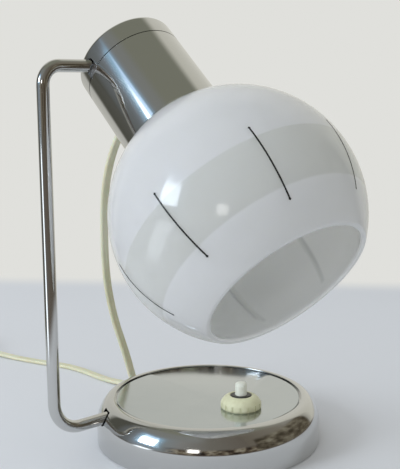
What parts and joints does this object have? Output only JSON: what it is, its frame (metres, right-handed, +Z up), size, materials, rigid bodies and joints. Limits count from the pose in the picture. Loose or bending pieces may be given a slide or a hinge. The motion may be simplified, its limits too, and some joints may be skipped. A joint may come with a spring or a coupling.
{
  "type": "globe table lamp",
  "caption": "Table lamp: white glass globe with a wide open mouth on a tilting chromed head, bent rod, round weighted base, push switch and trailing flex.",
  "frame": {"origin": "centre of the round base, on the table under its felt", "axes": "+Z up; -Y to the front, where the switch stands and the globe leans; +X from the rod's upright towards the head"},
  "size_m": [0.179, 0.4242, 0.2304],
  "materials": {
    "chrome": "polished",
    "brushed_disc": "fine brushed",
    "steel": "plain",
    "iron": "rough cast",
    "felt": "felt",
    "brass": "plain",
    "light_alloy": "machined",
    "black_plastic": "moulded",
    "ivory_plastic": "moulded, aged",
    "ivory_flex": "aged vinyl",
    "ivory_rubber": "matt",
    "opal_glass": "white opal, glossy",
    "clear_glass": "frosted"
  },
  "bodies": {
    "stand": {"base_shell": "chrome", "top_disc": "brushed_disc", "base_weight": "iron", "bottom_cover": "steel", "felt_pad": "felt", "disc_pillars": "brass", "cover_screws": "steel", "rod_block": "steel", "rod_block_screws": "steel", "terminal_block": "ivory_plastic", "terminal_screws": "brass", "cord_clamp": "black_plastic", "cord_clamp_screws": "steel", "switch_body": "black_plastic", "switch_bush": "black_plastic", "switch_nut": "ivory_plastic", "switch_spring": "steel", "switch_tags": "brass", "rod": "chrome", "rod_collar": "steel", "flex_grommet": "ivory_rubber", "mains_grommet": "ivory_rubber", "head_flex": "ivory_flex", "mains_flex": "ivory_flex", "mains_coil": "ivory_flex", "mains_tail": "ivory_flex", "plug_body": "ivory_plastic", "plug_pins": "brass", "flex_tails": "ivory_flex"},
    "head": {"head_body": "chrome", "head_cap": "chrome", "saddle_lower": "light_alloy", "saddle_upper": "light_alloy", "saddle_screws": "steel", "support_tube": "steel", "holder_dome": "black_plastic", "lampholder": "black_plastic", "socket_shell": "brass", "socket_contact": "brass", "shade_ring": "black_plastic", "globe": "opal_glass", "bulb_glass": "clear_glass", "bulb_cap": "brass", "head_grommet": "ivory_rubber", "lampholder_lead": "ivory_flex"},
    "button": {"switch_button": "ivory_plastic"}
  },
  "joints": [
    {"name": "head_tilt", "type": "hinge", "parent": "stand", "child": "head", "pos_m": [-0.0325, 0.0212, 0.206], "axis": [1, 0, 0], "range_deg": [-61.5, 26.5], "deforming": ["head_flex"]},
    {"name": "switch_press", "type": "slide", "parent": "stand", "child": "button", "axis": [0, 0, -1], "range_m": [0, 0.0025], "stiffness_N_per_m": 200, "springref_m": -0.005, "deforming": ["switch_spring"]}
  ]
}
